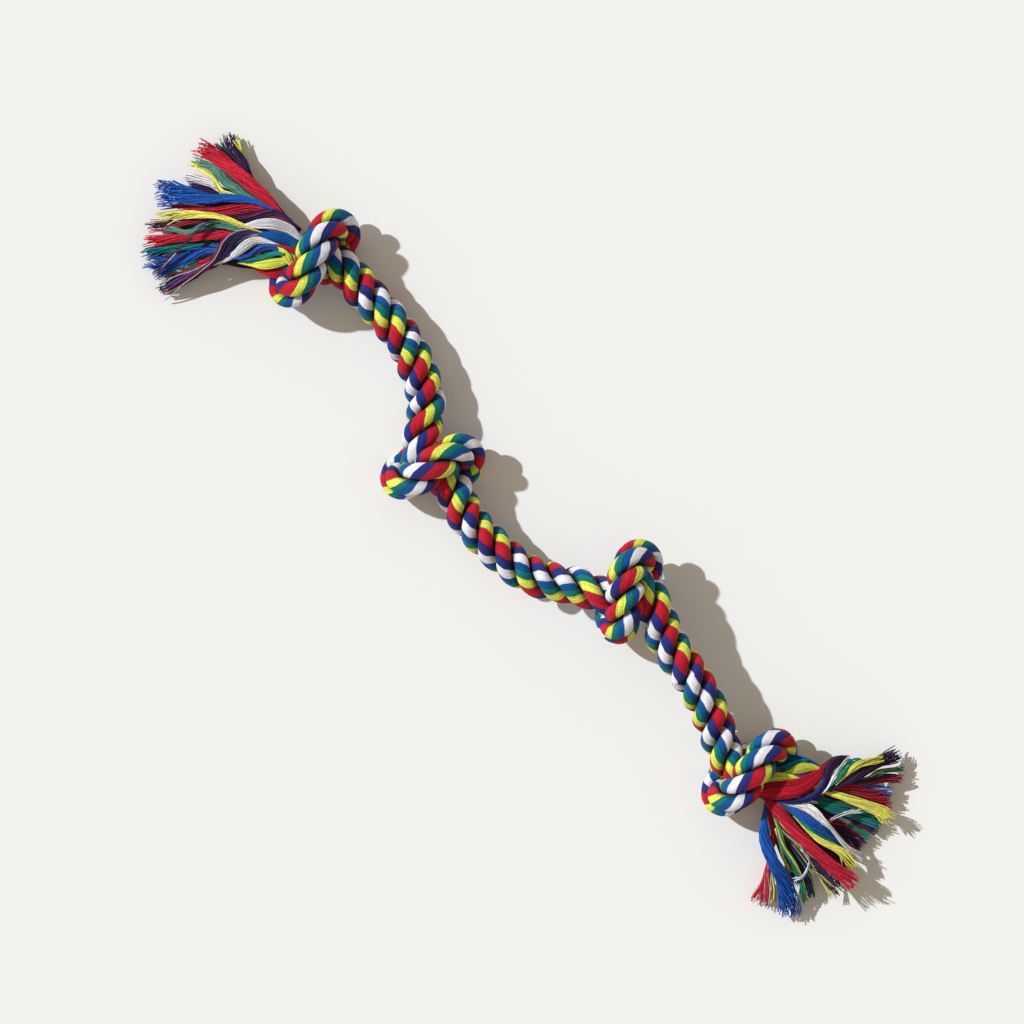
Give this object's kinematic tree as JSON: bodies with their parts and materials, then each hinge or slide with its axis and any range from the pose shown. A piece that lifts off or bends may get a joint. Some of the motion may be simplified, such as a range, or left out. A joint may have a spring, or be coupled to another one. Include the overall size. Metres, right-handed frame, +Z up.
{
  "type": "rope dog toy",
  "caption": "Laid cotton tug rope in mixed bright colours with overhand knots tied along it and both ends frayed into fanned tassels.",
  "frame": {"origin": "on the floor under the middle of the part's box, as the toy lies", "axes": "+X along the toy from the first tassel to the second, +Z up from the floor it lies on, +Y to the left"},
  "size_m": [0.5456, 0.112, 0.0509],
  "materials": {
    "red": "soft cotton yarn, matt",
    "yellow": "soft cotton yarn, matt",
    "green": "soft cotton yarn, matt",
    "blue": "soft cotton yarn, matt",
    "white": "soft cotton yarn, matt",
    "plum": "soft cotton yarn, matt"
  },
  "bodies": {
    "knot_2": {"knot_2_strand_a": "red", "knot_2_strand_b": "blue", "knot_2_strand_c": "yellow"},
    "stretch_1": {"stretch_1_strand_a": "red", "stretch_1_strand_b": "blue", "stretch_1_strand_c": "yellow"},
    "knot_1": {"knot_1_strand_a": "red", "knot_1_strand_b": "blue", "knot_1_strand_c": "yellow"},
    "tassel_1": {"tassel_1_lock_01_green": "green", "tassel_1_lock_02_plum": "plum", "tassel_1_lock_03_plum": "plum", "tassel_1_lock_04_red": "red", "tassel_1_lock_05_green": "green", "tassel_1_lock_06_yellow": "yellow", "tassel_1_lock_07_white": "white", "tassel_1_lock_08_blue": "blue", "tassel_1_lock_09_red": "red", "tassel_1_lock_10_plum": "plum", "tassel_1_lock_11_yellow": "yellow", "tassel_1_lock_12_green": "green", "tassel_1_lock_13_red": "red", "tassel_1_lock_14_plum": "plum", "tassel_1_lock_15_white": "white", "tassel_1_lock_16_blue": "blue", "tassel_1_lock_17_green": "green", "tassel_1_lock_18_white": "white"},
    "stretch_2": {"stretch_2_strand_a": "red", "stretch_2_strand_b": "blue", "stretch_2_strand_c": "yellow"},
    "knot_3": {"knot_3_strand_a": "red", "knot_3_strand_b": "blue", "knot_3_strand_c": "yellow"},
    "stretch_3": {"stretch_3_strand_a": "red", "stretch_3_strand_b": "blue", "stretch_3_strand_c": "yellow"},
    "knot_4": {"knot_4_strand_a": "red", "knot_4_strand_b": "blue", "knot_4_strand_c": "yellow"},
    "tassel_2": {"tassel_2_lock_01_plum": "plum", "tassel_2_lock_02_green": "green", "tassel_2_lock_03_yellow": "yellow", "tassel_2_lock_04_plum": "plum", "tassel_2_lock_05_blue": "blue", "tassel_2_lock_06_red": "red", "tassel_2_lock_07_yellow": "yellow", "tassel_2_lock_08_green": "green", "tassel_2_lock_09_plum": "plum", "tassel_2_lock_10_plum": "plum", "tassel_2_lock_11_white": "white", "tassel_2_lock_12_blue": "blue", "tassel_2_lock_13_yellow": "yellow", "tassel_2_lock_14_red": "red", "tassel_2_lock_15_plum": "plum", "tassel_2_lock_16_green": "green", "tassel_2_lock_17_blue": "blue", "tassel_2_lock_18_red": "red"}
  },
  "joints": [
    {"name": "stretch_1_lift", "type": "hinge", "parent": "knot_2", "child": "stretch_1", "pos_m": [-0.10787, 0.02107, 0.01601], "axis": [0.3252, 0.9456, 0], "range_deg": [-30, 30]},
    {"name": "stretch_1_swing", "type": "hinge", "parent": "stretch_1", "child": "knot_1", "pos_m": [-0.12729, 0.02572, 0.01648], "axis": [0, 0, 1], "range_deg": [-35, 35]},
    {"name": "tassel_1_swing", "type": "hinge", "parent": "knot_1", "child": "tassel_1", "pos_m": [-0.20741, 0.0095, 0.01751], "axis": [0, 0, 1], "range_deg": [-30, 30]},
    {"name": "stretch_2_swing", "type": "hinge", "parent": "knot_2", "child": "stretch_2", "pos_m": [-0.00122, -0.02225, 0.0174], "axis": [0, 0, 1], "range_deg": [-35, 35]},
    {"name": "stretch_2_lift", "type": "hinge", "parent": "stretch_2", "child": "knot_3", "pos_m": [0.01868, -0.02053, 0.01785], "axis": [0.1982, -0.9802, 0], "range_deg": [-30, 30]},
    {"name": "stretch_3_swing", "type": "hinge", "parent": "knot_3", "child": "stretch_3", "pos_m": [0.11637, 0.00654, 0.02931], "axis": [0, 0, 1], "range_deg": [-35, 35]},
    {"name": "stretch_3_lift", "type": "hinge", "parent": "stretch_3", "child": "knot_4", "pos_m": [0.13584, 0.00246, 0.02736], "axis": [-0.2606, -0.9654, 0], "range_deg": [-30, 30]},
    {"name": "tassel_2_swing", "type": "hinge", "parent": "knot_4", "child": "tassel_2", "pos_m": [0.21068, 0.00029, 0.018], "axis": [0, 0, 1], "range_deg": [-30, 30]}
  ]
}
